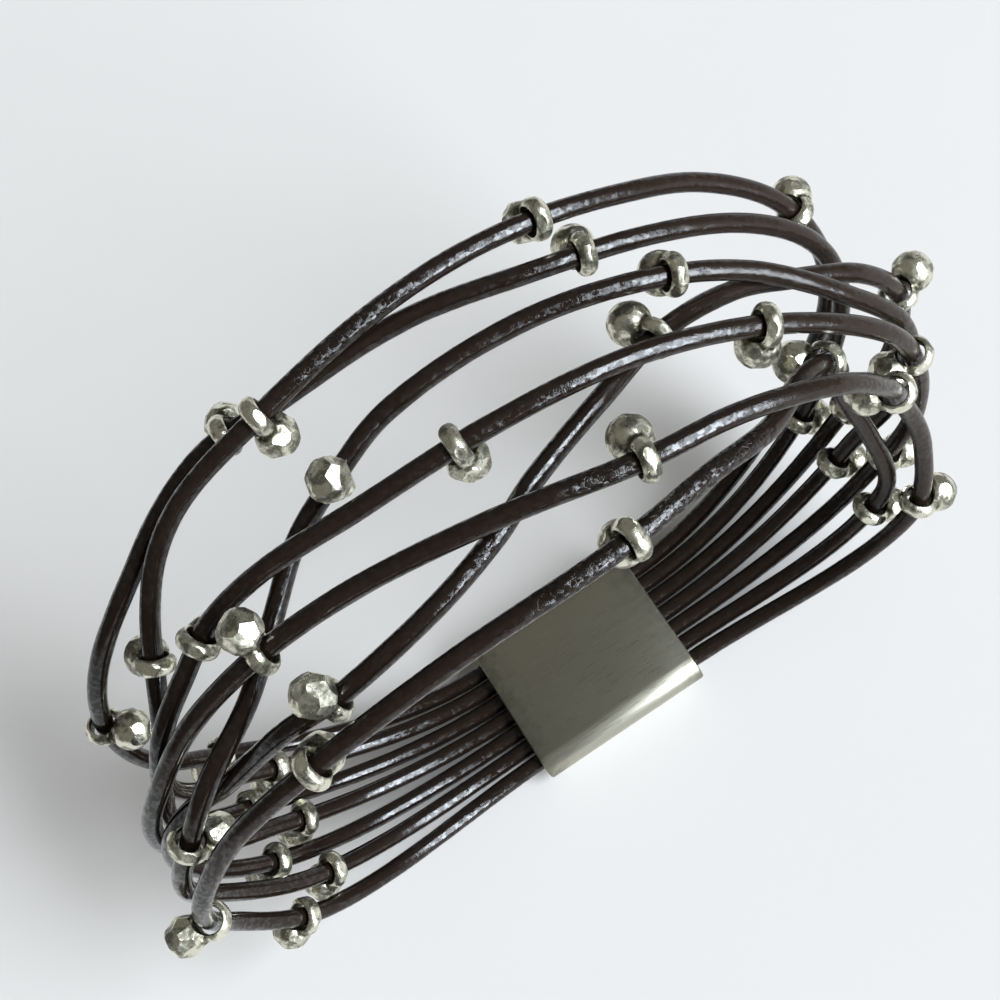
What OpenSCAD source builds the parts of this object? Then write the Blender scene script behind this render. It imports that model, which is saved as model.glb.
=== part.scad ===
// Multi-strand leather bracelet: seven round cords on one clasp, strung with small ball beads.
// The loop stands upright round the Y axis, with its clasp underneath.
// +X runs across the loop, +Y along its axis and +Z up. The origin is the middle of the loop.

/* [Loop] */
// Width of the loop
loop_w = 66; // [62:0.5:70]
// Height of the loop, from the clasp to the top cords
loop_h = 44; // [41:0.5:48]

/* [Cords] */
// Diameter of each leather cord
cord_d = 1.5; // [1:0.05:1.6]
// Rings of corners along one cord
cord_rings = 60; // [48:4:76]

/* [Beads] */
// Diameter of a bead's ball, before its flats are hammered
ball_d = 3.2; // [2.6:0.1:3.3]
// Distance of a flat from the ball's middle, as a share of the ball's radius
flat_share = 0.92; // [0.9:0.01:0.98]
// Distance from the cord's middle to the ball's middle
ball_reach = 2.1; // [2:0.05:2.2]
// Outer diameter of the ring that the cord passes through
ring_d = 3.15; // [3:0.05:3.25]
// Width of that ring along the cord
ring_w = 1.3; // [1.2:0.1:1.5]
// Bore of the ring
bore_d = 2; // [1.9:0.05:2.1]

/* [Clasp] */
// Length of the clasp, in the direction of the cords
clasp_l = 16; // [14:0.5:20]
// Place of the clasp's middle along the loop's axis
clasp_along = -2; // [-4:0.5:0]
// Depth of the slot that holds the cords' ends
slot_depth = 5; // [4:0.5:6]
// Gap round each cord in the slot
slot_gap = 0.15; // [0.12:0.01:0.2]
// Metal round the slot
clasp_wall = 0.9; // [0.7:0.1:1.2]

/* [Hidden] */
CORD_SIDES = 8;
SMOOTH = 64;
LEATHER = [0.17, 0.12, 0.10];
SILVER = [0.72, 0.70, 0.65];

// A cord's route has a row for each place where it changes course: the place round the loop
// in degrees, from 0 at the +X side over the top at 90 to 180 at the -X side, then how far
// along the loop's axis and how far out of the plain loop the cord lies there, in millimetres.
AROUND = 0;
ALONG = 1;
LIFT = 2;

// Along the far edge, then steeply under its neighbours on the -X side
ROUTE_1 = [
    [-35, 5.8, 0.4], [-10, 6.6, 0.4], [8, 8, 0.5], [22, 9.9, 0.7], [38, 11.7, 0.4],
    [52, 12, 0.6], [65, 12.3, 0.9], [76, 12.4, 0.9], [88, 11.9, 0.9], [104, 10.5, 1.2],
    [118, 9.9, 0.9], [127, 8.6, 0.3], [134, 6.2, -0.2], [141, 3.1, -0.8], [148, 1.3, -1.4],
    [160, 0.4, -1.8], [172, 0.6, -1.8], [190, 1.6, -1.2], [215, 3.3, -0.4]
];

// Passes under the first cord and ends outermost on the -X side
ROUTE_2 = [
    [-35, 3.2, -0.4], [-15, 4.2, 0], [5, 5.2, 0.2], [22, 6.4, 0.4], [36, 7.6, 0.1],
    [52, 8.5, -0.2], [68, 9.5, -0.5], [84, 11.3, -0.9], [104, 12, -1.2], [113, 12.6, -0.9],
    [122, 11.7, -0.5], [135, 9.3, 0], [150, 7.8, 0.3], [168, 6.8, 0.3], [190, 5.8, 0.5],
    [215, 6, 0.4]
];

// Over the fourth cord on the +X side, then steeply under the fifth and sixth
ROUTE_3 = [
    [-35, -2.1, -0.4], [-15, -3, 0.6], [10, -2.3, 1.2], [25, -1.1, 0.9], [33, 0.3, 0.9],
    [44, 2.6, 0.9], [58, 4.4, 0.9], [74, 5.9, 0.3], [92, 5.8, -0.3], [102, 4.2, -0.8],
    [110, 2.5, -1.1], [118, -0.6, -1.2], [127, -3.7, -1], [138, -6.1, 0.2], [150, -7.6, 0.3],
    [165, -7.7, 0.3], [190, -6.9, 0], [215, -7.1, -0.4]
];

// The lowest cord of the weave, which crosses from the middle to the near edge
ROUTE_4 = [
    [-35, 0.5, 0.4], [-15, -0.2, 1.4], [3, 0.5, 2.6], [18, 1.3, 1.6], [32, 2.3, -0.5],
    [44, 2.5, -0.9], [58, 1.4, -1.1], [70, -1.2, -0.9], [82, -3.8, -0.9], [90, -5.9, -0.9],
    [100, -7.6, -0.5], [113, -8.3, -0.2], [123, -7.5, -0.5], [132, -6.7, -1.5],
    [141, -6.1, -1.6], [150, -5.2, -1.1], [160, -5, -0.2], [185, -4.7, 0.2], [215, -4.5, 0.4]
];

// Over the third and fourth cords along the middle of the loop
ROUTE_5 = [
    [-35, -4.7, 0.4], [-15, -5.4, 0.2], [8, -4.8, 0.2], [24, -4.4, 0.8], [36, -3.4, 0.9],
    [50, -1.8, 0.8], [66, -0.5, 0.9], [84, 0.1, 0.9], [100, 0.5, 0.9], [114, 1.5, 0.9],
    [124, 1.6, 0.6], [132, 0.3, 0.6], [142, -1, 0.5], [150, -1.7, -0.2], [160, -2, -0.9],
    [172, -1.8, -0.9], [190, -0.8, -0.5], [215, 0.7, 0.4]
];

// Over the seventh, fourth and third cords in turn
ROUTE_6 = [
    [-35, -9.8, 0.2], [-12, -8.3, -1.4], [10, -7, -2.5], [30, -7.8, -1], [42, -8.1, 0.6],
    [50, -7.9, 1], [60, -7.5, 1], [72, -7.3, 0.8], [90, -5.4, 0.9], [106, -3.7, 0.9],
    [120, -2.9, 1], [134, -2.8, 1], [148, -3.4, 0.8], [162, -3.3, 0.6], [188, -2.8, 0.2],
    [215, -1.9, -0.4]
];

// Along the near edge, and under the sixth cord into the loop on the +X side
ROUTE_7 = [
    [-35, -7.2, -0.6], [-15, -5.2, -3.8], [0, -3.9, -5.2], [14, -3.3, -5.1], [26, -3.8, -3.3],
    [36, -4.6, -1.7], [44, -5.7, -1.2], [54, -8.3, -1.1], [64, -9.6, -0.4], [80, -11.3, 0],
    [100, -11.3, 0], [120, -11, 0.2], [138, -10.4, 0.2], [152, -10.4, 0], [164, -10.3, 0],
    [176, -9.8, 0], [190, -9.3, 0.2], [215, -9.7, 0.4]
];

// Each cord has its place in the clasp's slot at the +X end and at the -X end, counted from
// the far side, and its route between them.
RIGHT_PLACE = 0;
LEFT_PLACE = 1;
ROUTE = 2;
STRANDS = [
    [0, 1, ROUTE_1],
    [1, 0, ROUTE_2],
    [3, 5, ROUTE_3],
    [2, 4, ROUTE_4],
    [4, 2, ROUTE_5],
    [6, 3, ROUTE_6],
    [5, 6, ROUTE_7]
];

// Each bead has its cord, its place round the loop, the turn of its ball about the cord and
// the lean of its ball towards the -X side. A turn of 0 points out of the loop, and one of 90
// to the near edge.
CORD = 0;
PLACE = 1;
TURN = 2;
LEAN = 3;
BEADS = [
    [1, -30, 0, 0], [1, 16, -75, -8], [1, 64.5, -140, 5], [1, 104.5, 157, 4], [1, 139, -110, -2],
    [1, 220, 0, 0],
    [2, -40, 0, 0], [2, 61, -125, -4], [2, 110.5, -130, 4], [2, 169, 140, -4], [2, 210, 0, 0],
    [3, -40, 0, 0], [3, 54, -135, 0], [3, 101.5, 25, 0], [3, 150, 180, 0], [3, 220, 0, 0],
    [4, -30, 0, 0], [4, 5, -25, -4], [4, 59.5, -100, 0], [4, 115, -5, 0], [4, 210, 0, 0],
    [5, -30, 0, 0], [5, 10, -175, -5], [5, 47, 180, -4], [5, 87.5, 175, -4], [5, 127, -150, 0],
    [5, 210, 0, 0],
    [6, -30, 0, 0], [6, 19, -140, -6], [6, 71.5, -105, 0], [6, 119, -40, -8], [6, 220, 0, 0],
    [7, -40, 0, 0], [7, 36.5, -130, -1], [7, 77.5, -155, 3], [7, 121.5, -149, 4], [7, 176, 0, 4],
    [7, 210, 0, 0]
];

// The flats of each ball are turned on from those of the bead before it by this angle
FLATS_TURN = 40;

slot_h = cord_d + 2 * slot_gap;
slot_pitch = cord_d + slot_gap;
slot_span = (len(STRANDS) - 1) * slot_pitch;
clasp_h = slot_h + 2 * clasp_wall;

function bead_name(b) = str("bead_", b < 9 ? "0" : "", b + 1);
function strand_name(s) = str("strand_", s + 1);

function unit(v) = v / norm(v);

// The plain loop: half an ellipse over the top, and a quarter ellipse down to each clasp end
function is_over(around) = around >= 0 && around <= 180;
function loop_reach(around) = loop_w / 2 - (is_over(around) ? 0 : clasp_l / 2);
function loop_middle(around) = (is_over(around) ? 0 : clasp_l / 2) * (around > 90 ? -1 : 1);

function loop_point(around) = [
    loop_middle(around) + loop_reach(around) * cos(around),
    0,
    loop_h / 2 * sin(around)
];

function out_of_loop(around) = unit([
    loop_h / 2 * cos(around),
    0,
    loop_reach(around) * sin(around)
]);

// Place along the loop's axis of one cord's end in the slot
function slot_along(place) = clasp_along + slot_span / 2 - place * slot_pitch;

function strand_rows(strand) = concat(
    [[-90, slot_along(strand[RIGHT_PLACE]), 0]],
    strand[ROUTE],
    [[270, slot_along(strand[LEFT_PLACE]), 0]]
);

// How fast the place along the axis and the lift change at a row, from the rows beside it
function row_offset(row) = [row[ALONG], row[LIFT]];
function row_slope(rows, i) =
    i == 0 || i == len(rows) - 1
        ? [0, 0]
        : (row_offset(rows[i + 1]) - row_offset(rows[i - 1]))
            / (rows[i + 1][AROUND] - rows[i - 1][AROUND]);

// A smooth curve through a route's rows
function route_offset(rows, around) =
    let (
        i = max([for (k = [0 : len(rows) - 2]) if (rows[k][AROUND] <= around) k]),
        span = rows[i + 1][AROUND] - rows[i][AROUND],
        u = (around - rows[i][AROUND]) / span,
        start = row_offset(rows[i]),
        finish = row_offset(rows[i + 1]),
        leave = row_slope(rows, i) * span,
        arrive = row_slope(rows, i + 1) * span
    )
    start * (1 - 3 * u ^ 2 + 2 * u ^ 3)
        + leave * (u - 2 * u ^ 2 + u ^ 3)
        + finish * (3 * u ^ 2 - 2 * u ^ 3)
        + arrive * (u ^ 3 - u ^ 2);

function strand_point(rows, around) =
    let (offset = route_offset(rows, around))
    loop_point(around) + offset[1] * out_of_loop(around) + [0, offset[0], 0];

// A cord's middle line, with one more point at each end for the length held in the slot
function strand_places() = [for (i = [0 : cord_rings]) -90 + 360 * i / cord_rings];
function strand_line(rows) = concat(
    [strand_point(rows, -90) - [slot_depth, 0, 0]],
    [for (around = strand_places()) strand_point(rows, around)],
    [strand_point(rows, 270) + [slot_depth, 0, 0]]
);

function ring_of_corners(middle, ahead, out) =
    let (
        across = unit(cross(ahead, out)),
        up = cross(across, ahead)
    )
    [
        for (k = [0 : CORD_SIDES - 1])
            let (angle = 360 * (k + 0.5) / CORD_SIDES)
            middle + cord_d / 2 * (cos(angle) * up + sin(angle) * across)
    ];

// Two triangles join each side of a ring to the next ring
function side_faces(rings) = [
    for (i = [0 : rings - 2], k = [0 : CORD_SIDES - 1], half = [0, 1])
        let (
            a = i * CORD_SIDES + k,
            b = i * CORD_SIDES + (k + 1) % CORD_SIDES
        )
        half == 0
            ? [a, a + CORD_SIDES, b]
            : [b, a + CORD_SIDES, b + CORD_SIDES]
];

module strand(strand) {
    places = concat([-90], strand_places(), [270]);
    line = strand_line(strand_rows(strand));
    last = len(line) - 1;
    corners = [
        for (i = [0 : last])
            each ring_of_corners(
                line[i],
                unit(line[min(i + 1, last)] - line[max(i - 1, 0)]),
                out_of_loop(places[i])
            )
    ];
    first_cap = [for (k = [0 : CORD_SIDES - 1]) k];
    last_cap = [for (k = [CORD_SIDES - 1 : -1 : 0]) last * CORD_SIDES + k];
    color(LEATHER)
        polyhedron(corners, concat([first_cap], side_faces(last + 1), [last_cap]), 10);
}

// Six flats square to one another, and six more between them
module hammered_ball(turn) {
    flat_gap = ball_d * flat_share;
    rotate([turn, 2 * turn, 0])
        intersection() {
            sphere(d = ball_d, $fn = SMOOTH);
            cube(flat_gap, center = true);
            rotate(60, [1, 1, 1])
                cube(flat_gap, center = true);
        }
}

// A half-round band with its bore along Z
module band() {
    rotate_extrude($fn = SMOOTH)
        intersection() {
            translate([(ring_d - ring_w) / 2, 0])
                circle(d = ring_w, $fn = SMOOTH);
            translate([0, -ring_w / 2])
                square([ring_d, ring_w]);
        }
}

// Ball and ring are cast in one piece, with the ball on the ring's +X side
module ball_bead(flats_turn) {
    difference() {
        union() {
            band();
            translate([ball_reach, 0, 0])
                hammered_ball(flats_turn);
        }
        cylinder(d = bore_d, h = 2 * ball_d, center = true, $fn = SMOOTH);
    }
}

module bead(row, flats_turn) {
    rows = strand_rows(STRANDS[row[CORD] - 1]);
    half_band = ring_w / 2 / loop_w * 180;
    middle = strand_point(rows, row[PLACE]);
    ahead = unit(
        strand_point(rows, row[PLACE] + half_band) - strand_point(rows, row[PLACE] - half_band)
    );
    across = unit(cross(out_of_loop(row[PLACE]), ahead));
    up = cross(ahead, across);
    to_ball = up * cos(row[TURN]) + across * sin(row[TURN]);
    to_side = cross(ahead, to_ball);
    color(SILVER)
        multmatrix([
            [to_ball.x, to_side.x, ahead.x, middle.x],
            [to_ball.y, to_side.y, ahead.y, middle.y],
            [to_ball.z, to_side.z, ahead.z, middle.z],
            [0, 0, 0, 1]
        ])
            rotate([0, -row[LEAN], 0])
                ball_bead(flats_turn);
}

// A flat bar along X with round edges
module round_edged_bar(length, height, span) {
    cube([length, span, height], center = true);
    for (side = [-1, 1])
        translate([0, side * span / 2, 0])
            rotate([0, 90, 0])
                cylinder(d = height, h = length, center = true, $fn = SMOOTH);
}

module clasp() {
    color(SILVER)
        translate([0, clasp_along, -loop_h / 2])
            difference() {
                round_edged_bar(clasp_l, clasp_h, slot_span);
                for (end = [-1, 1])
                    translate([end * clasp_l / 2, 0, 0])
                        round_edged_bar(2 * (slot_depth + slot_gap), slot_h, slot_span);
            }
}

for (s = [0 : len(STRANDS) - 1])
    strand(STRANDS[s]);
for (b = [0 : len(BEADS) - 1])
    bead(BEADS[b], b * FLATS_TURN);
clasp();
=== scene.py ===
"""Seven dark leather cords on one clasp, strung with small hammered ball-and-ring beads.

The loop stands upright round the Y axis with its clasp underneath. Sizes are in millimetres
and become metres as each piece is finished.
"""

import math

import bmesh
import bpy
from mathutils import Matrix, Vector, noise


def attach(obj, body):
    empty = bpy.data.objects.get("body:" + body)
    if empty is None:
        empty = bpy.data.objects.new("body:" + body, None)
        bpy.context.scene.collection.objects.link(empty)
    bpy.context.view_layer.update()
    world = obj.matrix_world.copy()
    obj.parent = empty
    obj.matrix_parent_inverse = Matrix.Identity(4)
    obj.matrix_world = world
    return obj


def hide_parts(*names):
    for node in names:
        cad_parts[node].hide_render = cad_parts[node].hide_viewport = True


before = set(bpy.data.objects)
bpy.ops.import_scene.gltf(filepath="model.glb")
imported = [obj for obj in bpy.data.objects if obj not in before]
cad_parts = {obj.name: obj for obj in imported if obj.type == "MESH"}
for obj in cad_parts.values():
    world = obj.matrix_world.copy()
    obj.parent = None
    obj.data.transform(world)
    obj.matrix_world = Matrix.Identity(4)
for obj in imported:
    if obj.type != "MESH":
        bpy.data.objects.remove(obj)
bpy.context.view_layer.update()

MM = 0.001

LOOP_WIDTH = 66.0
LOOP_HEIGHT = 44.0

CORD = 1.5
CORD_SIDES = 20
CORD_STEPS = 560

# A cord is a little thicker and thinner by turns, and its tube is eased in by as much.
CORD_EASE = 0.015
CORD_SWELL = 0.028
CORD_SWELL_LENGTH = 2.6
CORD_SWELL_ROW = (0.3, 0.7)

# Each cord's length is counted from its own start, so that no two cords are marked alike.
CORD_START_STEP = 200.0

BALL = 3.2
BALL_REACH = 2.1
RING = 3.15
RING_WIDTH = 1.3
BORE = 2.0

CLASP_LENGTH = 16.0
CLASP_ALONG = -2.0
SLOT_DEPTH = 5.0
SLOT_GAP = 0.15
CLASP_WALL = 0.9

# A cord's route has a row for each place where it changes course: the place round the loop in
# degrees, from 0 at the +X side over the top at 90 to 180 at the -X side, then how far along
# the loop's axis and how far out of the plain loop the cord lies there.
AROUND, ALONG, LIFT = 0, 1, 2

# Along the far edge, then steeply under its neighbours on the -X side
ROUTE_1 = [
    [-35, 5.8, 0.4], [-10, 6.6, 0.4], [8, 8, 0.5], [22, 9.9, 0.7], [38, 11.7, 0.4],
    [52, 12, 0.6], [65, 12.3, 0.9], [76, 12.4, 0.9], [88, 11.9, 0.9], [104, 10.5, 1.2],
    [118, 9.9, 0.9], [127, 8.6, 0.3], [134, 6.2, -0.2], [141, 3.1, -0.8], [148, 1.3, -1.4],
    [160, 0.4, -1.8], [172, 0.6, -1.8], [190, 1.6, -1.2], [215, 3.3, -0.4],
]

# Passes under the first cord and ends outermost on the -X side
ROUTE_2 = [
    [-35, 3.2, -0.4], [-15, 4.2, 0], [5, 5.2, 0.2], [22, 6.4, 0.4], [36, 7.6, 0.1],
    [52, 8.5, -0.2], [68, 9.5, -0.5], [84, 11.3, -0.9], [104, 12, -1.2], [113, 12.6, -0.9],
    [122, 11.7, -0.5], [135, 9.3, 0], [150, 7.8, 0.3], [168, 6.8, 0.3], [190, 5.8, 0.5],
    [215, 6, 0.4],
]

# Over the fourth cord on the +X side, then steeply under the fifth and sixth
ROUTE_3 = [
    [-35, -2.1, -0.4], [-15, -3, 0.6], [10, -2.3, 1.2], [25, -1.1, 0.9], [33, 0.3, 0.9],
    [44, 2.6, 0.9], [58, 4.4, 0.9], [74, 5.9, 0.3], [92, 5.8, -0.3], [102, 4.2, -0.8],
    [110, 2.5, -1.1], [118, -0.6, -1.2], [127, -3.7, -1], [138, -6.1, 0.2], [150, -7.6, 0.3],
    [165, -7.7, 0.3], [190, -6.9, 0], [215, -7.1, -0.4],
]

# The lowest cord of the weave, which crosses from the middle to the near edge
ROUTE_4 = [
    [-35, 0.5, 0.4], [-15, -0.2, 1.4], [3, 0.5, 2.6], [18, 1.3, 1.6], [32, 2.3, -0.5],
    [44, 2.5, -0.9], [58, 1.4, -1.1], [70, -1.2, -0.9], [82, -3.8, -0.9], [90, -5.9, -0.9],
    [100, -7.6, -0.5], [113, -8.3, -0.2], [123, -7.5, -0.5], [132, -6.7, -1.5],
    [141, -6.1, -1.6], [150, -5.2, -1.1], [160, -5, -0.2], [185, -4.7, 0.2], [215, -4.5, 0.4],
]

# Over the third and fourth cords along the middle of the loop
ROUTE_5 = [
    [-35, -4.7, 0.4], [-15, -5.4, 0.2], [8, -4.8, 0.2], [24, -4.4, 0.8], [36, -3.4, 0.9],
    [50, -1.8, 0.8], [66, -0.5, 0.9], [84, 0.1, 0.9], [100, 0.5, 0.9], [114, 1.5, 0.9],
    [124, 1.6, 0.6], [132, 0.3, 0.6], [142, -1, 0.5], [150, -1.7, -0.2], [160, -2, -0.9],
    [172, -1.8, -0.9], [190, -0.8, -0.5], [215, 0.7, 0.4],
]

# Over the seventh, fourth and third cords in turn
ROUTE_6 = [
    [-35, -9.8, 0.2], [-12, -8.3, -1.4], [10, -7, -2.5], [30, -7.8, -1], [42, -8.1, 0.6],
    [50, -7.9, 1], [60, -7.5, 1], [72, -7.3, 0.8], [90, -5.4, 0.9], [106, -3.7, 0.9],
    [120, -2.9, 1], [134, -2.8, 1], [148, -3.4, 0.8], [162, -3.3, 0.6], [188, -2.8, 0.2],
    [215, -1.9, -0.4],
]

# Along the near edge, and under the sixth cord into the loop on the +X side
ROUTE_7 = [
    [-35, -7.2, -0.6], [-15, -5.2, -3.8], [0, -3.9, -5.2], [14, -3.3, -5.1], [26, -3.8, -3.3],
    [36, -4.6, -1.7], [44, -5.7, -1.2], [54, -8.3, -1.1], [64, -9.6, -0.4], [80, -11.3, 0],
    [100, -11.3, 0], [120, -11, 0.2], [138, -10.4, 0.2], [152, -10.4, 0], [164, -10.3, 0],
    [176, -9.8, 0], [190, -9.3, 0.2], [215, -9.7, 0.4],
]

# Each cord has its place in the clasp's slot at the +X end and at the -X end, counted from
# the far side, and its route between them.
RIGHT_PLACE, LEFT_PLACE, ROUTE = 0, 1, 2
STRANDS = [
    [0, 1, ROUTE_1],
    [1, 0, ROUTE_2],
    [3, 5, ROUTE_3],
    [2, 4, ROUTE_4],
    [4, 2, ROUTE_5],
    [6, 3, ROUTE_6],
    [5, 6, ROUTE_7],
]

# On the +X side the cords are worn dull and brown, and on the -X side they are still smooth.
# Some are cracked on top. Each stretch runs from one place to another in degrees round the
# loop, and comes in over a few degrees inside its ends.
WORN = (-60, 66)
WORN_FADE = 26.0
SMOOTH = (122, 250)
SMOOTH_FADE = 16.0
CRACKED = {
    1: (80, 100),
    4: (86, 96),
    6: (72, 82),
    7: (54, 92),
}
CRACKED_FADE = 3.0

# Each bead has its cord, its place round the loop, the turn of its ball about the cord and
# the lean of its ball towards the -X side. A turn of 0 points out of the loop, and one of 90
# to the near edge.
STRUNG_ON, PLACE, TURN, LEAN = 0, 1, 2, 3
BEADS = [
    [1, -30, 0, 0], [1, 16, -75, -8], [1, 64.5, -140, 5], [1, 104.5, 157, 4],
    [1, 139, -110, -2], [1, 220, 0, 0],
    [2, -40, 0, 0], [2, 61, -125, -4], [2, 110.5, -130, 4], [2, 169, 140, -4], [2, 210, 0, 0],
    [3, -40, 0, 0], [3, 54, -135, 0], [3, 101.5, 25, 0], [3, 150, 180, 0], [3, 220, 0, 0],
    [4, -30, 0, 0], [4, 5, -25, -4], [4, 59.5, -100, 0], [4, 115, -5, 0], [4, 210, 0, 0],
    [5, -30, 0, 0], [5, 10, -175, -5], [5, 47, 180, -4], [5, 87.5, 175, -4], [5, 127, -150, 0],
    [5, 210, 0, 0],
    [6, -30, 0, 0], [6, 19, -140, -6], [6, 71.5, -105, 0], [6, 119, -40, -8], [6, 220, 0, 0],
    [7, -40, 0, 0], [7, 36.5, -130, -1], [7, 77.5, -155, 3], [7, 121.5, -149, 4],
    [7, 176, 0, 4], [7, 210, 0, 0],
]

# The cords leave one end of the clasp, straight down from the loop's middle, and come round to
# the other end.
START, END = -90, 270

SLOT_HEIGHT = CORD + 2 * SLOT_GAP
SLOT_PITCH = CORD + SLOT_GAP
SLOT_SPAN = (len(STRANDS) - 1) * SLOT_PITCH
CLASP_HEIGHT = SLOT_HEIGHT + 2 * CLASP_WALL


# The route of a cord round the loop

def loop_reach(around):
    over = 0 <= around <= 180
    return LOOP_WIDTH / 2 - (0 if over else CLASP_LENGTH / 2)


def loop_point(around):
    middle = (LOOP_WIDTH / 2 - loop_reach(around)) * (-1 if around > 90 else 1)
    turn = math.radians(around)
    return Vector((
        middle + loop_reach(around) * math.cos(turn),
        0,
        LOOP_HEIGHT / 2 * math.sin(turn),
    ))


def out_of_loop(around):
    turn = math.radians(around)
    return Vector((
        LOOP_HEIGHT / 2 * math.cos(turn),
        0,
        loop_reach(around) * math.sin(turn),
    )).normalized()


def slot_along(place):
    return CLASP_ALONG + SLOT_SPAN / 2 - place * SLOT_PITCH


def strand_rows(strand):
    return (
        [[START, slot_along(strand[RIGHT_PLACE]), 0]]
        + strand[ROUTE]
        + [[END, slot_along(strand[LEFT_PLACE]), 0]]
    )


def row_offset(row):
    return Vector((row[ALONG], row[LIFT]))


def row_slope(rows, i):
    if i == 0 or i == len(rows) - 1:
        return Vector((0, 0))
    change = row_offset(rows[i + 1]) - row_offset(rows[i - 1])
    return change / (rows[i + 1][AROUND] - rows[i - 1][AROUND])


def route_offset(rows, around):
    i = max(k for k in range(len(rows) - 1) if rows[k][AROUND] <= around)
    span = rows[i + 1][AROUND] - rows[i][AROUND]
    u = (around - rows[i][AROUND]) / span
    return (
        row_offset(rows[i]) * (1 - 3 * u ** 2 + 2 * u ** 3)
        + row_slope(rows, i) * span * (u - 2 * u ** 2 + u ** 3)
        + row_offset(rows[i + 1]) * (3 * u ** 2 - 2 * u ** 3)
        + row_slope(rows, i + 1) * span * (u ** 3 - u ** 2)
    )


def strand_point(rows, around):
    along, lift = route_offset(rows, around)
    return loop_point(around) + out_of_loop(around) * lift + Vector((0, along, 0))


def strand_line(rows):
    """The cord's middle line, with its two ends held straight in the clasp."""
    places = [START + 360 * i / CORD_STEPS for i in range(CORD_STEPS + 1)]
    held = Vector((SLOT_DEPTH, 0, 0))
    return (
        [strand_point(rows, START) - held]
        + [strand_point(rows, around) for around in places]
        + [strand_point(rows, END) + held]
    )


# Finishing a piece

def shown(name, mesh, material):
    piece = bpy.data.objects.new(name, mesh)
    bpy.context.scene.collection.objects.link(piece)
    mesh.materials.clear()
    mesh.materials.append(material)
    return piece


def dress(piece, node):
    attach(piece, "root")
    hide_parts(node)


# Shader maths

class Wire:
    """A shader socket that takes part in Python arithmetic."""

    def __init__(self, finish, socket):
        self.finish = finish
        self.socket = socket

    def maths(self, operation, *values, clamp=False):
        settings = {"operation": operation, "use_clamp": clamp}
        made = self.finish.node("ShaderNodeMath", settings, dict(enumerate(values)))
        return made.out("Value")

    def __add__(self, other):
        return self.maths("ADD", self, other)

    def __radd__(self, other):
        return self.maths("ADD", other, self)

    def __sub__(self, other):
        return self.maths("SUBTRACT", self, other)

    def __rsub__(self, other):
        return self.maths("SUBTRACT", other, self)

    def __mul__(self, other):
        return self.maths("MULTIPLY", self, other)

    def __rmul__(self, other):
        return self.maths("MULTIPLY", other, self)

    def __pow__(self, other):
        return self.maths("POWER", self, other)

    def at_least(self, other):
        return self.maths("MAXIMUM", self, other)

    def root(self):
        return self.maths("SQRT", self)

    def clamped(self):
        return self.maths("ADD", self, 0, clamp=True)

    def share_of(self, low, high):
        """0 below low, 1 above high and straight between them."""
        return ((self - low) * (1 / (high - low))).clamped()

    def from_to(self, low, high):
        """0 below low, 1 above high and a smooth rise between them."""
        return self.finish.node(
            "ShaderNodeMapRange",
            {"interpolation_type": "SMOOTHSTEP"},
            {"Value": self, "From Min": low, "From Max": high},
        ).out("Result")


class Made:
    """A node, with its outputs as wires."""

    def __init__(self, finish, node):
        self.finish = finish
        self.node = node

    def out(self, name):
        return Wire(self.finish, self.node.outputs[name])


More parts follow.
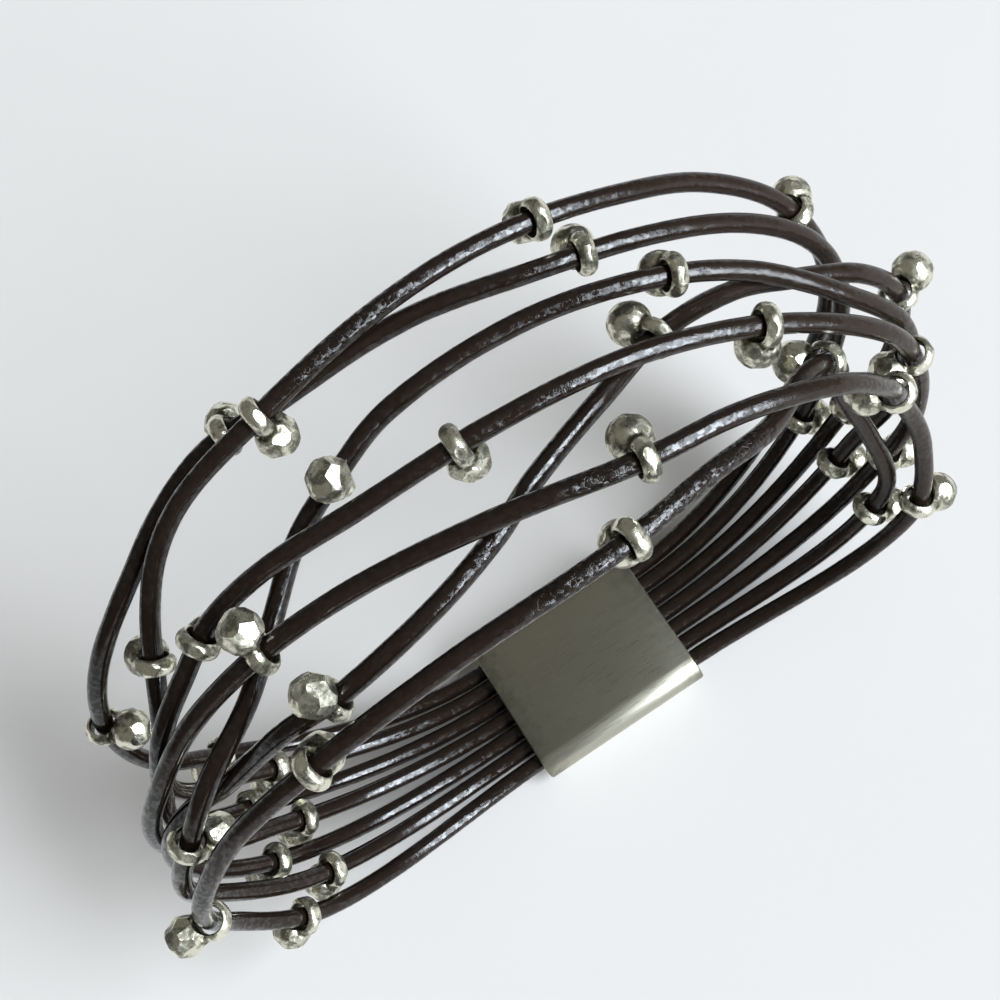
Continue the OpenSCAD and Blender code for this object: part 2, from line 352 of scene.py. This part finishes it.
class Finish:
    """What a material or the room looks like, built up node by node."""

    def __init__(self, owner):
        self.owner = owner
        self.owner.use_nodes = True
        self.tree = self.owner.node_tree
        self.tree.nodes.clear()

    def node(self, kind, settings=None, sockets=None):
        made = self.tree.nodes.new(kind)
        for key, value in (settings or {}).items():
            setattr(made, key, value)
        for key, value in (sockets or {}).items():
            if isinstance(value, Wire):
                self.tree.links.new(value.socket, made.inputs[key])
            else:
                made.inputs[key].default_value = value
        return Made(self, made)

    def own(self, attribute):
        """What the piece itself stores under this name."""
        settings = {"attribute_type": "GEOMETRY", "attribute_name": attribute}
        return self.node("ShaderNodeAttribute", settings)

    def place_in_mm(self):
        place = self.node("ShaderNodeTexCoord").out("Object")
        return self.scaled(place, (1 / MM, 1 / MM, 1 / MM))

    def between(self, operation, first, second):
        return self.node("ShaderNodeVectorMath", {"operation": operation}, {0: first, 1: second})

    def scaled(self, place, stretch):
        return self.between("MULTIPLY", place, stretch).out("Vector")

    def parts(self, place):
        split = self.node("ShaderNodeSeparateXYZ", None, {"Vector": place})
        return split.out("X"), split.out("Y"), split.out("Z")

    def cloudy(self, place, scale=1.0, detail=3.0, rough=0.55):
        return self.node(
            "ShaderNodeTexNoise",
            None,
            {"Vector": place, "Scale": scale, "Detail": detail, "Roughness": rough},
        ).out("Fac")

    def cell_edges(self, place):
        return self.node(
            "ShaderNodeTexVoronoi",
            {"feature": "DISTANCE_TO_EDGE"},
            {"Vector": place, "Scale": 1.0},
        ).out("Distance")

    def cell_marks(self, place):
        """Three even numbers from 0 to 1 for each cell."""
        made = self.node("ShaderNodeTexVoronoi", None, {"Vector": place, "Scale": 1.0})
        return made.out("Color")

    def evened(self, marks):
        """Three numbers from 0 to 1 moved to lie evenly about 0."""
        return self.between("SUBTRACT", marks, (0.5, 0.5, 0.5)).out("Vector")

    def strayed(self, place, amount):
        """The place moved about a little, so that what is drawn there has ragged edges."""
        sockets = {"Vector": place, "Scale": 1.7, "Detail": 1.0}
        stray = self.node("ShaderNodeTexNoise", None, sockets).out("Color")
        offset = self.scaled(self.evened(stray), (amount, amount, amount))
        return self.between("ADD", place, offset).out("Vector")

    def facets(self, marks, tilt):
        """The surface's direction, turned its own way in each cell by as much as tilt."""
        outward = self.node("ShaderNodeNewGeometry").out("Normal")
        own_way = self.scaled(self.evened(marks), tilt)
        turned = self.between("ADD", outward, own_way).out("Vector")
        made = self.node("ShaderNodeVectorMath", {"operation": "NORMALIZE"}, {0: turned})
        return made.out("Vector")

    def mixed(self, share, first, second):
        return self.node(
            "ShaderNodeMix", {"data_type": "RGBA"}, {0: share, 6: first, 7: second}
        ).out(2)

    def relief(self, height, depth, strength, under=None):
        sockets = {"Height": height, "Distance": depth, "Strength": strength}
        if under:
            sockets["Normal"] = under
        return self.node("ShaderNodeBump", None, sockets).out("Normal")

    def surface(self, sockets):
        shader = self.node("ShaderNodeBsdfPrincipled", None, sockets)
        self.node("ShaderNodeOutputMaterial", None, {"Surface": shader.out("BSDF")})
        return self.owner


def shade(red, green, blue):
    return (red, green, blue, 1.0)


# Where a finish has a pair of colours, its surface varies from one to the other.
DARK_DYE = (shade(0.0065, 0.0039, 0.0028), shade(0.0115, 0.0071, 0.0051))
BROWN_DYE = (shade(0.0115, 0.0070, 0.0048), shade(0.019, 0.0119, 0.0083))
# Nearly black: painted shade deep in the cracks between the leather's scales
CRACK_SHADE = shade(0.0020, 0.0014, 0.0010)

# The leather's markings, as so many a millimetre along the cord and across it both ways
PATCHES = (0.11, 0.3, 0.3)
FIBRES = (0.5, 5.0, 5.0)
WRINKLES = (2.8, 0.7, 0.7)
GRAIN = (9.0, 8.0, 8.0)
CHIPS = (2.8, 4.0, 4.0)


# Round leather, dyed nearly black. Its surface is made of small uneven scales that each catch
# the light on their own, and in places it is cracked between them.
def leather_finish():
    finish = Finish(bpy.data.materials.new("dark_leather"))
    run = finish.own("run").out("Vector")
    patches = finish.cloudy(finish.scaled(run, PATCHES), detail=2.0)
    fibres = finish.cloudy(finish.scaled(run, FIBRES), detail=2.0)
    wrinkles = finish.cloudy(finish.scaled(run, WRINKLES), detail=2.0, rough=0.5)
    grain = finish.cloudy(finish.scaled(run, GRAIN), detail=2.0)
    chip_place = finish.strayed(finish.scaled(run, CHIPS), 0.5)
    marks = finish.cell_marks(chip_place)
    gloss, rub, dirt = finish.parts(marks)
    cracked = finish.own("cracked").out("Fac")
    worn = finish.own("worn").out("Fac").from_to(0.0, 1.0)
    smooth = finish.own("smooth").out("Fac").from_to(0.0, 1.0)
    open_cracks = (1 - finish.cell_edges(chip_place).from_to(0.02, 0.12)) * cracked
    dark = finish.mixed(patches, *DARK_DYE)
    brown = finish.mixed(fibres, *BROWN_DYE)
    dyed = finish.mixed((worn * 0.9 + grain * rub * 0.25).clamped(), dark, brown)
    dullness = 0.07 + worn * 0.05 + smooth * 0.06 + patches * 0.05
    uneven = gloss * (1 - smooth) * 0.12 + dirt * open_cracks * 0.2
    height = wrinkles * 0.35 + fibres * 0.08 + grain * (0.4 - smooth * 0.36) - open_cracks * 0.2
    scales = finish.facets(marks, 0.12 - smooth * 0.09 + cracked * 0.3)
    return finish.surface({
        # The cracks take a nearly black colour, painted shade where the scales part
        "Base Color": finish.mixed(open_cracks * 0.8, dyed, CRACK_SHADE),
        "Roughness": dullness + uneven,
        "Specular IOR Level": 0.27,
        "Coat Weight": (1 - worn) * rub.from_to(0.5, 0.75) * 0.5,
        "Coat Roughness": 0.08,
        "Normal": finish.relief(height, depth=0.04 * MM, strength=0.9, under=scales),
    })


BRIGHT_SILVER = (shade(0.70, 0.68, 0.545), shade(0.88, 0.86, 0.72))
DARK_TARNISH = (shade(0.03, 0.027, 0.017), shade(0.12, 0.111, 0.072))
NECK_SHADE_REACH = 0.42
BORE_SHADE_REACH = 0.12


# Cast metal with a silver wash: bright where it rubs, dark in the neck, the bore and in patches
def silver_finish():
    finish = Finish(bpy.data.materials.new("antique_silver"))
    x, y, z = finish.parts(finish.own("cast").out("Vector"))
    from_bore = (x * x + y * y).root()
    ring_middle = (RING - RING_WIDTH) / 2
    off_ring = ((from_bore - ring_middle) ** 2 + z * z).root() - RING_WIDTH / 2
    off_ball = ((x - BALL_REACH) ** 2 + y * y + z * z).root() - BALL / 2
    neck = 1 - off_ring.at_least(off_ball).from_to(0.0, NECK_SHADE_REACH)
    bore = 1 - from_bore.from_to(BORE / 2 + 0.01, BORE / 2 + BORE_SHADE_REACH)
    place = finish.place_in_mm()
    stain = finish.cloudy(place, scale=0.9)
    pits = finish.cloudy(place, scale=5.0, detail=4.0, rough=0.7)
    dents = finish.cloudy(place, scale=1.3, detail=1.0)
    tarnish = (neck + bore * 0.8 + stain.from_to(0.43, 0.6) * 0.85).clamped()
    metal = finish.mixed(stain, *BRIGHT_SILVER)
    dull = finish.mixed(pits, *DARK_TARNISH)
    return finish.surface({
        "Base Color": finish.mixed(tarnish * pits.from_to(0.22, 0.5), metal, dull),
        "Metallic": 1.0,
        "Roughness": 0.2 + tarnish * 0.16 + pits * 0.14,
        "Normal": finish.relief(dents * 2.4 + pits * 0.3, depth=0.05 * MM, strength=0.8),
    })


SATIN_SILVER = (shade(0.50, 0.485, 0.405), shade(0.17, 0.16, 0.12))
BRUSHED = (0.35, 11.0, 11.0)


# The clasp's metal, brushed from end to end and tarnished towards its mouths
def satin_finish():
    finish = Finish(bpy.data.materials.new("satin_silver"))
    place = finish.place_in_mm()
    x, _, _ = finish.parts(place)
    from_middle = (x * x).root()
    brushed = finish.cloudy(finish.scaled(place, BRUSHED))
    stain = finish.cloudy(place, scale=1.1, detail=4.0, rough=0.65)
    tarnish = (from_middle + stain * 5.0).from_to(7.5, 11.5)
    return finish.surface({
        "Base Color": finish.mixed((tarnish * 0.8 + brushed * 0.2).clamped(), *SATIN_SILVER),
        "Metallic": 1.0,
        "Roughness": 0.2 + brushed * 0.2 + tarnish * 0.14,
        "Normal": finish.relief(brushed, depth=0.02 * MM, strength=0.6),
    })


PALE_FLOOR = (shade(0.61, 0.58, 0.555), shade(0.63, 0.60, 0.574))
FLOOR_MOTTLE = 0.03


def floor_finish():
    finish = Finish(bpy.data.materials.new("pale_floor"))
    mottle = finish.cloudy(finish.place_in_mm(), scale=FLOOR_MOTTLE)
    return finish.surface({
        "Base Color": finish.mixed(mottle, *PALE_FLOOR),
        "Roughness": 0.9,
        "Specular IOR Level": 0.0,
    })


# Cords

def swell(along):
    """The cord's thickness at a place along it, as a share of its usual one."""
    return 1 + CORD_SWELL * noise.noise(Vector((along / CORD_SWELL_LENGTH, *CORD_SWELL_ROW)))


def swept_tube(line, runs):
    """A round tube of many sides along the cord's line."""
    curve = bpy.data.curves.new("cord_line", "CURVE")
    curve.dimensions = "3D"
    curve.twist_mode = "MINIMUM"
    curve.bevel_depth = CORD / 2 - CORD_EASE
    curve.bevel_resolution = CORD_SIDES // 2 - 2
    spline = curve.splines.new("POLY")
    spline.points.add(len(line) - 1)
    for point, place, run in zip(spline.points, line, runs):
        point.co = (*place, 1)
        point.radius = swell(run)
    holder = bpy.data.objects.new("cord_line", curve)
    tube = bpy.data.meshes.new_from_object(holder)
    bpy.data.objects.remove(holder)
    bpy.data.curves.remove(curve)
    return tube


def mark_run(tube, line, runs):
    """Stores each corner's place on the cord as if the cord were straight."""
    sides = len(tube.vertices) // len(line)
    marks = tube.attributes.new("run", "FLOAT_VECTOR", "POINT")
    for corner in tube.vertices:
        step, side = divmod(corner.index, sides)
        turn = 2 * math.pi * side / sides
        marks.data[corner.index].vector = (
            runs[step],
            CORD / 2 * math.cos(turn),
            CORD / 2 * math.sin(turn),
        )


def mark_stretch(tube, stations, name, stretch, fade):
    """Stores how far inside a stretch of the cord each corner lies, from 0 to 1."""
    sides = len(tube.vertices) // stations
    marks = tube.attributes.new(name, "FLOAT", "POINT")
    for corner in tube.vertices:
        around = START + 360 * (corner.index // sides - 1) / CORD_STEPS
        inside = min(around - stretch[0], stretch[1] - around) / fade
        marks.data[corner.index].value = max(0, min(1, inside))


def cord_runs(line, start):
    """How far along the cord each point of its line lies."""
    runs = [start]
    for before, after in zip(line, line[1:]):
        runs.append(runs[-1] + (after - before).length)
    return runs


def close_ends(tube):
    form = bmesh.new()
    form.from_mesh(tube)
    bmesh.ops.holes_fill(form, edges=[edge for edge in form.edges if edge.is_boundary])
    bmesh.ops.recalc_face_normals(form, faces=form.faces)
    form.to_mesh(tube)
    form.free()


def make_cord(number, strand, leather):
    line = strand_line(strand_rows(strand))
    runs = cord_runs(line, CORD_START_STEP * number)
    tube = swept_tube(line, runs)
    mark_run(tube, line, runs)
    mark_stretch(tube, len(line), "worn", WORN, WORN_FADE)
    mark_stretch(tube, len(line), "smooth", SMOOTH, SMOOTH_FADE)
    mark_stretch(tube, len(line), "cracked", CRACKED.get(number, (0, 0)), CRACKED_FADE)
    close_ends(tube)
    tube.transform(Matrix.Scale(MM, 4))
    tube.shade_smooth()
    piece = shown(f"leather_cord_{number}", tube, leather)
    dress(piece, f"strand_{number}")


# Beads

# A ball's flats come in four sets of six, like the sides of a cube that is turned each time,
# and each set lies a little further out than the last.
FLAT_TURN_AXES = [(1, 1, 1), (1, -1, 1), (-1, 1, 1)]
FLAT_TURN_STEP = 60.0
FLAT_EASES = [0, 0.005, 0.015, 0.025]

# Every casting came out of the hammering a little different: its flats are turned by so many
# degrees from the last one's, and its ball's flats have their own depth, as a share of the
# ball's radius.
FLATS_TURN = 40.0
FLAT_DEPTHS = [0.09, 0.05, 0.12, 0.11, 0.08, 0.07, 0.045, 0.05, 0.13, 0.08, 0.06]

RING_BULGE = 0.55
RIM_MIDDLE = RING / 2 - RING_BULGE
RIM_SIDES = 24
RING_FLATS = 8
RING_FLAT_DEPTH = 0.09
RING_FLAT_TILT = 30.0
SPIN_STEPS = 48

BORE_FLARE = 0.12
NECK_REACH = 0.32
NECK_PASSES = 6
BEAD_SHARP_ANGLE = 13.0

CUT_TOLERANCE = 1e-5
MERGE_TOLERANCE = 1e-4


def everything(form):
    return form.verts[:] + form.edges[:] + form.faces[:]


def cut_flat(form, normal, distance):
    """Slices off what lies beyond a plane and closes the cut."""
    cut = bmesh.ops.bisect_plane(
        form,
        geom=everything(form),
        dist=CUT_TOLERANCE,
        plane_co=normal * distance,
        plane_no=normal,
        clear_outer=True,
    )
    rim = [part for part in cut["geom_cut"] if isinstance(part, bmesh.types.BMEdge)]
    if rim:
        bmesh.ops.holes_fill(form, edges=rim)


def ball_flats(turn, depth):
    """Each flat's direction and its distance as a share of the ball's radius."""
    whole = (
        Matrix.Rotation(math.radians(2 * turn), 3, "Y")
        @ Matrix.Rotation(math.radians(turn), 3, "X")
    )
    sets = [Matrix.Identity(3)] + [
        Matrix.Rotation(math.radians(FLAT_TURN_STEP), 3, Vector(axis)) for axis in FLAT_TURN_AXES
    ]
    return [
        (side * (whole @ flats).col[axis], 1 - depth + ease)
        for flats, ease in zip(sets, FLAT_EASES)
        for axis in range(3)
        for side in (1, -1)
    ]


def hammered_ball(turn, depth):
    ball = bmesh.new()
    bmesh.ops.create_icosphere(ball, subdivisions=4, radius=BALL / 2)
    for normal, share in ball_flats(turn, depth):
        cut_flat(ball, normal, share * BALL / 2)
    bmesh.ops.translate(ball, verts=ball.verts, vec=(BALL_REACH, 0, 0))
    return ball


def spin_round(form):
    """Turns a profile once round the Z axis into a closed body."""
    bmesh.ops.spin(
        form,
        geom=form.verts[:] + form.edges[:],
        cent=(0, 0, 0),
        axis=(0, 0, 1),
        angle=2 * math.pi,
        steps=SPIN_STEPS,
        use_merge=True,
    )
    bmesh.ops.remove_doubles(form, verts=form.verts, dist=MERGE_TOLERANCE)
    bmesh.ops.recalc_face_normals(form, faces=form.faces)


def hammer_rim(blank, turn):
    """Cuts flats round the rim, turned down, level and up in turn."""
    for flat in range(RING_FLATS):
        round_ring = math.radians(turn + 360 * flat / RING_FLATS)
        tilt = math.radians(RING_FLAT_TILT * (flat % 3 - 1))
        normal = Vector((
            math.cos(round_ring) * math.cos(tilt),
            math.sin(round_ring) * math.cos(tilt),
            math.sin(tilt),
        ))
        reach = RIM_MIDDLE * math.cos(tilt) + math.hypot(
            RING_BULGE * math.cos(tilt), RING_WIDTH / 2 * math.sin(tilt)
        )
        cut_flat(blank, normal, reach - RING_FLAT_DEPTH)


def ring_blank(turn):
    """A disc with a rounded rim and hammered flats, before the bore is drilled."""
    blank = bmesh.new()
    half = RING_WIDTH / 2
    upright = Matrix.Rotation(math.radians(90), 4, "X")
    bmesh.ops.create_circle(blank, segments=RIM_SIDES, radius=half, matrix=upright)
    bmesh.ops.scale(blank, verts=blank.verts, vec=(RING_BULGE / half, 1, 1))
    bmesh.ops.translate(blank, verts=blank.verts, vec=(RIM_MIDDLE, 0, 0))
    bmesh.ops.bisect_plane(
        blank,
        geom=everything(blank),
        dist=CUT_TOLERANCE,
        plane_co=(RIM_MIDDLE, 0, 0),
        plane_no=(1, 0, 0),
        clear_inner=True,
    )
    ends = [corner for corner in blank.verts if corner.co.x < RIM_MIDDLE + MERGE_TOLERANCE]
    for end in ends:
        centre = blank.verts.new((0, 0, end.co.z))
        blank.edges.new((end, centre))
    spin_round(blank)
    hammer_rim(blank, turn)
    return blank


def bore_drill():
    """A pin as thick as the bore, which flares where it leaves the ring's faces."""
    drill = bmesh.new()
    narrow = BORE / 2
    flared = narrow + BORE_FLARE
    face = RING_WIDTH / 2
    straight = face - 2 * BORE_FLARE
    profile = [
        (0, -BALL), (flared, -BALL), (flared, -face), (narrow, -straight),
        (narrow, straight), (flared, face), (flared, BALL), (0, BALL),
    ]
    corners = [drill.verts.new((x, 0, z)) for x, z in profile]
    for first, second in zip(corners, corners[1:]):
        drill.edges.new((first, second))
    spin_round(drill)
    return drill


def as_object(form, name):
    mesh = bpy.data.meshes.new(name)
    form.to_mesh(mesh)
    form.free()
    holder = bpy.data.objects.new(name, mesh)
    bpy.context.scene.collection.objects.link(holder)
    return holder


def combine(base, other, operation):
    """Joins other to base, or cuts it away from base."""
    step = base.modifiers.new(operation.lower(), "BOOLEAN")
    step.operation = operation
    step.solver = "EXACT"
    step.object = other
    bpy.context.view_layer.update()
    worked = base.evaluated_get(bpy.context.evaluated_depsgraph_get())
    mesh = bpy.data.meshes.new_from_object(worked)
    base.modifiers.clear()
    base.data = mesh


def off_ring(place):
    """How far a place is from the ring's rim."""
    return math.hypot(math.hypot(place.x, place.y) - RIM_MIDDLE, place.z) - RING_BULGE


def in_neck(place):
    off_ball = (place - Vector((BALL_REACH, 0, 0))).length - BALL / 2
    return off_ball < NECK_REACH and off_ring(place) < NECK_REACH


def soften_neck(joined):
    """Rounds the corner where the ball meets the ring, as in a casting."""
    form = bmesh.new()
    form.from_mesh(joined)
    bmesh.ops.triangulate(form, faces=[face for face in form.faces if len(face.verts) > 4])
    neck = [corner for corner in form.verts if in_neck(corner.co)]
    for _ in range(NECK_PASSES):
        bmesh.ops.smooth_vert(
            form, verts=neck, factor=0.5, use_axis_x=True, use_axis_y=True, use_axis_z=True
        )
    form.to_mesh(joined)
    form.free()


def outside_bore(place):
    return math.hypot(place.x, place.y) > BORE / 2 + 2 * BORE_FLARE


def shade_casting(casting):
    """Smooth but for its flats' edges, and smooth all through the neck."""
    casting.shade_smooth()
    casting.set_sharp_from_angle(angle=math.radians(BEAD_SHARP_ANGLE))
    sharp = casting.attributes["sharp_edge"].data
    for edge in casting.edges:
        ends = [casting.vertices[corner].co for corner in edge.vertices]
        if all(in_neck(end) and outside_bore(end) for end in ends):
            sharp[edge.index].value = False


def bead_casting(turn, depth):
    """Ball and ring in one, drilled, with the ball on the +X side and the bore along Z."""
    ring = as_object(ring_blank(turn), "ring")
    ball = as_object(hammered_ball(turn, depth), "ball")
    drill = as_object(bore_drill(), "drill")
    combine(ring, ball, "UNION")
    soften_neck(ring.data)
    combine(ring, drill, "DIFFERENCE")
    casting = ring.data
    for holder in (ring, ball, drill):
        bpy.data.objects.remove(holder)
    marks = casting.attributes.new("cast", "FLOAT_VECTOR", "POINT")
    for corner in casting.vertices:
        marks.data[corner.index].vector = corner.co
    shade_casting(casting)
    return casting


def turned_to(x_axis, y_axis, z_axis):
    """The turn that brings the three axes to these directions."""
    return Matrix((x_axis, y_axis, z_axis)).transposed().to_4x4()


def bead_place(row):
    """Where a bead sits: its bore along the cord and its ball turned and leaned."""
    rows = strand_rows(STRANDS[row[STRUNG_ON] - 1])
    around = row[PLACE]
    half_band = RING_WIDTH / 2 / LOOP_WIDTH * 180
    middle = strand_point(rows, around)
    after = strand_point(rows, around + half_band)
    before = strand_point(rows, around - half_band)
    ahead = (after - before).normalized()
    across = out_of_loop(around).cross(ahead).normalized()
    up = ahead.cross(across)
    turn = math.radians(row[TURN])
    to_ball = up * math.cos(turn) + across * math.sin(turn)
    to_side = ahead.cross(to_ball)
    lean = Matrix.Rotation(math.radians(-row[LEAN]), 4, "Y")
    return Matrix.Translation(middle) @ turned_to(to_ball, to_side, ahead) @ lean


def make_bead(number, row, casting, silver):
    mesh = casting.copy()
    mesh.transform(Matrix.Scale(MM, 4) @ bead_place(row))
    piece = shown(f"ball_bead_{number:02d}", mesh, silver)
    dress(piece, f"bead_{number:02d}")


# Clasp

CLASP_SIDES = 40
CLASP_EDGE = 0.22
CLASP_SHARP_ANGLE = 25.0
MOUTH_CORNER_ANGLE = 60.0
FACING_END = 0.99


def pull(form, faces, distance):
    """Draws the faces out along X, with walls behind them."""
    pulled = bmesh.ops.extrude_face_region(form, geom=faces)
    moved = [part for part in pulled["geom"] if isinstance(part, bmesh.types.BMVert)]
    bmesh.ops.translate(form, verts=moved, vec=(distance, 0, 0))


def clasp_bar():
    """A bar along X with half-round edges."""
    bar = bmesh.new()
    endwise = Matrix.Rotation(math.radians(90), 4, "Y")
    half_side = Matrix.Rotation(math.pi / CLASP_SIDES, 4, "Z")
    bmesh.ops.create_circle(
        bar,
        cap_ends=True,
        segments=CLASP_SIDES,
        radius=CLASP_HEIGHT / 2,
        matrix=endwise @ half_side,
    )
    for corner in bar.verts:
        corner.co.y += math.copysign(SLOT_SPAN / 2, corner.co.y)
        corner.co.x -= CLASP_LENGTH / 2
    pull(bar, bar.faces[:], CLASP_LENGTH)
    bmesh.ops.recalc_face_normals(bar, faces=bar.faces)
    return bar


def sink_slots(bar):
    """Opens a slot in each end for the cords."""
    ends = [face for face in bar.faces if abs(face.normal.x) > FACING_END]
    for end in ends:
        inward = -math.copysign(1, end.normal.x)
        bmesh.ops.inset_region(bar, faces=[end], thickness=CLASP_WALL)
        pull(bar, [end], inward * (SLOT_DEPTH + SLOT_GAP))
        bmesh.ops.delete(bar, geom=[end], context="FACES_ONLY")
    bmesh.ops.recalc_face_normals(bar, faces=bar.faces)


def at_mouth(corner):
    return abs(abs(corner.co.x) - CLASP_LENGTH / 2) < MERGE_TOLERANCE


def round_mouths(bar):
    mouths = [
        edge for edge in bar.edges
        if all(at_mouth(corner) for corner in edge.verts)
        and edge.calc_face_angle(0) > math.radians(MOUTH_CORNER_ANGLE)
    ]
    bmesh.ops.bevel(
        bar,
        geom=mouths,
        offset=CLASP_EDGE,
        segments=3,
        profile=0.5,
        affect="EDGES",
        material=-1,
        clamp_overlap=True,
    )


def make_clasp(satin):
    bar = clasp_bar()
    sink_slots(bar)
    round_mouths(bar)
    bmesh.ops.translate(bar, verts=bar.verts, vec=(0, CLASP_ALONG, -LOOP_HEIGHT / 2))
    bmesh.ops.scale(bar, verts=bar.verts, vec=(MM, MM, MM))
    mesh = bpy.data.meshes.new("clasp_bar")
    bar.to_mesh(mesh)
    bar.free()
    mesh.shade_smooth()
    mesh.set_sharp_from_angle(angle=math.radians(CLASP_SHARP_ANGLE))
    piece = shown("clasp_bar", mesh, satin)
    dress(piece, "clasp")


# Camera, light and floor

CAMERA_TILT = 25.0
CAMERA_ROLL = 34.0
CAMERA_DISTANCE = 120.0
CAMERA_AIM = Vector((1.8, 6.0, 0.0))
CAMERA_LENS = 55.1
CAMERA_SENSOR = 36.0
CAMERA_NEAR = 5.0

# The window's light: where it comes from, which way its long side runs, and its size in metres
WINDOW_SIDE = Vector((0.51, -0.69, 0.51)).normalized()
WINDOW_UPRIGHT = Vector((0.21, 0.78, 0.59))
WINDOW_DISTANCE = 4.0
WINDOW_SIZE = (1.47, 5.0)
WINDOW_POWER = 555.0
WINDOW_COLOUR = (0.84, 0.92, 1.0)

# The room: a pale strip where the floor ends, dim walls above it and a lighter ceiling, with
# the height of each as the sine of its angle above the horizon
SKIRTING = shade(0.62, 0.62, 0.63)
WALLS = shade(0.06, 0.06, 0.062)
CEILING = shade(0.185, 0.18, 0.158)
SKIRTING_TOP = 0.05
WALLS_FOOT = 0.1
CEILING_FOOT = 0.5

FLOOR_REACH = 9.0
FLOOR_CLEARANCE = 0.3


def place_camera():
    tilt = math.radians(CAMERA_TILT)
    back = Vector((0, -math.sin(tilt), math.cos(tilt)))
    level = Vector((1, 0, 0))
    rise = back.cross(level)
    roll = math.radians(CAMERA_ROLL)
    right = level * math.cos(roll) - rise * math.sin(roll)
    up = level * math.sin(roll) + rise * math.cos(roll)
    camera = bpy.data.objects.new("camera", bpy.data.cameras.new("camera"))
    camera.data.lens = CAMERA_LENS
    camera.data.sensor_width = CAMERA_SENSOR
    camera.data.clip_start = CAMERA_NEAR * MM
    place = (CAMERA_AIM + back * CAMERA_DISTANCE) * MM
    camera.matrix_world = Matrix.Translation(place) @ turned_to(right, up, back)
    bpy.context.scene.collection.objects.link(camera)
    bpy.context.scene.camera = camera


def hang_window_light():
    lamp = bpy.data.lights.new("window", "AREA")
    lamp.shape = "RECTANGLE"
    lamp.size, lamp.size_y = WINDOW_SIZE
    lamp.energy = WINDOW_POWER
    lamp.color = WINDOW_COLOUR
    holder = bpy.data.objects.new("window", lamp)
    across = WINDOW_UPRIGHT.cross(WINDOW_SIDE).normalized()
    turned = turned_to(across, WINDOW_SIDE.cross(across), WINDOW_SIDE)
    holder.matrix_world = Matrix.Translation(WINDOW_SIDE * WINDOW_DISTANCE) @ turned
    bpy.context.scene.collection.objects.link(holder)


def light_the_room():
    room = Finish(bpy.data.worlds.new("room"))
    _, _, height = room.parts(room.node("ShaderNodeTexCoord").out("Generated"))
    lower = room.mixed(height.share_of(SKIRTING_TOP, WALLS_FOOT), SKIRTING, WALLS)
    colour = room.mixed(height.share_of(WALLS_FOOT, CEILING_FOOT), lower, CEILING)
    glow = room.node("ShaderNodeBackground", None, {"Color": colour}).out("Background")
    room.node("ShaderNodeOutputWorld", None, {"Surface": glow})
    bpy.context.scene.world = room.owner


def lay_floor():
    plane = bmesh.new()
    bmesh.ops.create_grid(plane, x_segments=1, y_segments=1, size=FLOOR_REACH)
    drop = LOOP_HEIGHT / 2 + CLASP_HEIGHT / 2 + FLOOR_CLEARANCE
    bmesh.ops.translate(plane, verts=plane.verts, vec=(0, 0, -drop * MM))
    mesh = bpy.data.meshes.new("floor")
    plane.to_mesh(mesh)
    plane.free()
    shown("floor", mesh, floor_finish())


place_camera()
hang_window_light()
light_the_room()
bpy.context.scene.view_settings.view_transform = "Standard"
lay_floor()

leather = leather_finish()
for number, strand in enumerate(STRANDS, start=1):
    make_cord(number, strand, leather)

silver = silver_finish()
castings = [bead_casting(FLATS_TURN * turn, depth) for turn, depth in enumerate(FLAT_DEPTHS)]
for number, row in enumerate(BEADS, start=1):
    make_bead(number, row, castings[(number - 1) % len(castings)], silver)

make_clasp(satin_finish())
